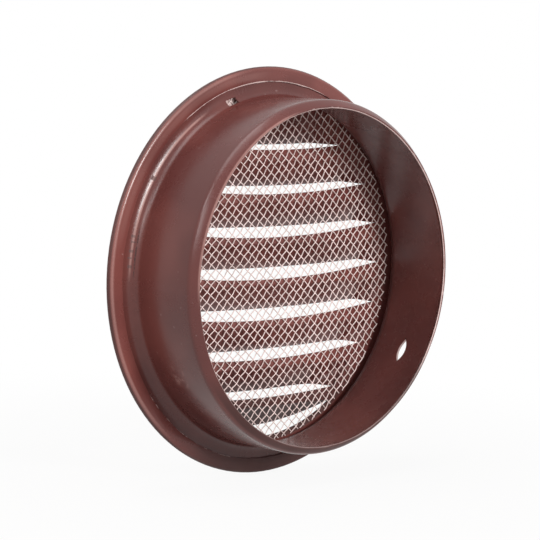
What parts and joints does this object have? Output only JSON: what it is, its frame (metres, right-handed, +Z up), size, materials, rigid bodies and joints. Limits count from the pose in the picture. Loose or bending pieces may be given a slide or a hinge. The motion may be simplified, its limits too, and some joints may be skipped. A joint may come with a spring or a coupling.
{
  "type": "round soffit vent",
  "caption": "Round louvred soffit vent in brown painted sheet steel, with a hemmed flange, an insect mesh behind the louvres and a duct collar at the back.",
  "frame": {"origin": "on the vent's axis, in the plane of the flange's back, which seats on the soffit or wall", "axes": "+Y along the axis and out through the duct collar, X along the louvres, +Z up, so that the louvres open downwards"},
  "size_m": [0.118, 0.0345, 0.118],
  "materials": {
    "face_paint": "satin chocolate-brown paint, lightly worn",
    "collar_paint": "satin chocolate-brown paint, lightly worn, pale on the cut edge",
    "mesh_wire": "bright woven wire"
  },
  "bodies": {
    "root": {"face_plate": "face_paint", "collar": "collar_paint", "insect_mesh": "mesh_wire"}
  },
  "joints": []
}
